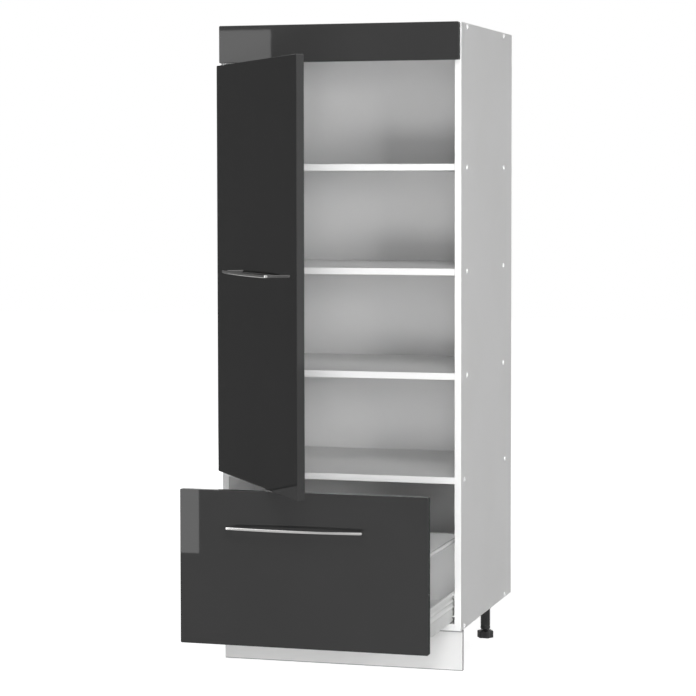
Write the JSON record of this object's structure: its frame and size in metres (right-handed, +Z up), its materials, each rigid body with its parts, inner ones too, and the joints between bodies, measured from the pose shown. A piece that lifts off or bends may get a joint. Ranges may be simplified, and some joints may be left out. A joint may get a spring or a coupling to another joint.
{
  "type": "tall pantry cabinet",
  "caption": "Tall white kitchen pantry unit with a side-hinged gloss door over shelves, a deep pull-out drawer with rails, a fixed top strip, a plinth and levelling legs.",
  "frame": {"origin": "on the floor, midway across the width, below the front edges of the carcass", "axes": "+X to the right as one faces the fronts, +Y towards the wall, +Z up"},
  "size_m": [0.6079, 1.0535, 1.55],
  "materials": {
    "white_board": "white melamine on chipboard, satin",
    "back_board": "painted fibreboard, satin",
    "gloss_front": "anthracite high gloss foil on fibreboard",
    "handle_metal": "satin nickel plate",
    "coated_steel": "light grey epoxy coat on folded steel",
    "zinc_steel": "zinc plate",
    "hinge_steel": "nickel plate",
    "black_plastic": "moulded black",
    "white_plastic": "moulded white",
    "buffer_rubber": "soft pads"
  },
  "bodies": {
    "carcass": {"side_panel_left": "white_board", "side_panel_right": "white_board", "top_panel": "white_board", "bottom_panel": "white_board", "fixed_shelf": "white_board", "shelf_1": "white_board", "shelf_2": "white_board", "shelf_3": "white_board", "back_panel": "back_board", "carcass_screws_left": "zinc_steel", "carcass_screws_right": "zinc_steel", "cover_caps_left": "white_plastic", "cover_caps_right": "white_plastic", "fascia_panel": "gloss_front", "fascia_brackets": "zinc_steel", "fascia_screws": "zinc_steel", "leg_sockets": "black_plastic", "leg_screws": "zinc_steel", "plinth_panel": "white_board", "plinth_clips": "black_plastic", "hinge_arms": "hinge_steel", "hinge_arm_pins": "hinge_steel", "hinge_plates": "hinge_steel", "hinge_plate_screws": "zinc_steel", "runner_left": "coated_steel", "runner_right": "coated_steel", "runner_screws": "zinc_steel", "front_roller_pins": "zinc_steel"},
    "hinge_link_set": {"hinge_links": "hinge_steel"},
    "door": {"door_panel": "gloss_front", "door_handle": "handle_metal", "door_handle_screws": "zinc_steel", "door_buffers": "buffer_rubber", "hinge_cups": "hinge_steel", "hinge_cup_screws": "zinc_steel", "hinge_cup_pins": "hinge_steel"},
    "drawer": {"drawer_front": "gloss_front", "drawer_handle": "handle_metal", "drawer_handle_screws": "zinc_steel", "drawer_buffers": "buffer_rubber", "drawer_side_left": "coated_steel", "drawer_side_right": "coated_steel", "drawer_bottom": "white_board", "drawer_back": "white_board", "gallery_rail_left": "coated_steel", "gallery_rail_right": "coated_steel", "rail_sockets": "white_plastic", "rail_holders": "coated_steel", "front_brackets": "coated_steel", "drawer_screws": "zinc_steel", "rear_roller_pins": "zinc_steel"},
    "front_roller_left": {"front_roller_left": "white_plastic"},
    "front_roller_right": {"front_roller_right": "white_plastic"},
    "rear_roller_left": {"rear_roller_left": "white_plastic"},
    "rear_roller_right": {"rear_roller_right": "white_plastic"},
    "foot_front_left": {"foot_front_left": "black_plastic"},
    "foot_front_right": {"foot_front_right": "black_plastic"},
    "foot_rear_left": {"foot_rear_left": "black_plastic"},
    "foot_rear_right": {"foot_rear_right": "black_plastic"}
  },
  "joints": [
    {"name": "link_swing", "type": "hinge", "parent": "carcass", "child": "hinge_link_set", "pos_m": [-0.258, 0.002, 0.96], "axis": [0, 0, -1], "range_deg": [-10.3, 10.8]},
    {"name": "door_swing", "type": "hinge", "parent": "hinge_link_set", "child": "door", "pos_m": [-0.28942, -0.00945, 0.96], "axis": [0, 0, -1], "range_deg": [-64.44, 61.56]},
    {"name": "drawer_slide", "type": "slide", "parent": "carcass", "child": "drawer", "axis": [0, -1, 0], "range_m": [-0.29, 0.1]},
    {"name": "front_roller_spin_left", "type": "hinge", "parent": "carcass", "child": "front_roller_left", "pos_m": [-0.27875, 0.018, 0.1841], "axis": [1, 0, 0], "continuous": true},
    {"name": "rear_roller_spin_left", "type": "hinge", "parent": "drawer", "child": "rear_roller_left", "pos_m": [-0.27875, 0.192, 0.141], "axis": [1, 0, 0], "continuous": true},
    {"name": "front_roller_spin_right", "type": "hinge", "parent": "carcass", "child": "front_roller_right", "pos_m": [0.27875, 0.018, 0.1841], "axis": [1, 0, 0], "continuous": true},
    {"name": "rear_roller_spin_right", "type": "hinge", "parent": "drawer", "child": "rear_roller_right", "pos_m": [0.27875, 0.192, 0.141], "axis": [1, 0, 0], "continuous": true},
    {"name": "foot_travel_front_left", "type": "slide", "parent": "carcass", "child": "foot_front_left", "axis": [0, 0, -1], "range_m": [-0.0035, 0.012]},
    {"name": "foot_travel_front_right", "type": "slide", "parent": "carcass", "child": "foot_front_right", "axis": [0, 0, -1], "range_m": [-0.0035, 0.012]},
    {"name": "foot_travel_rear_left", "type": "slide", "parent": "carcass", "child": "foot_rear_left", "axis": [0, 0, -1], "range_m": [-0.0035, 0.012]},
    {"name": "foot_travel_rear_right", "type": "slide", "parent": "carcass", "child": "foot_rear_right", "axis": [0, 0, -1], "range_m": [-0.0035, 0.012]}
  ],
  "couplings": [
    {"joint": "link_swing", "follows": "door_swing", "ratio": -0.16667},
    {"joint": "front_roller_spin_left", "follows": "drawer_slide", "rad_per_m": 142.86},
    {"joint": "rear_roller_spin_left", "follows": "drawer_slide", "rad_per_m": 142.86},
    {"joint": "front_roller_spin_right", "follows": "drawer_slide", "rad_per_m": 142.86},
    {"joint": "rear_roller_spin_right", "follows": "drawer_slide", "rad_per_m": 142.86}
  ]
}
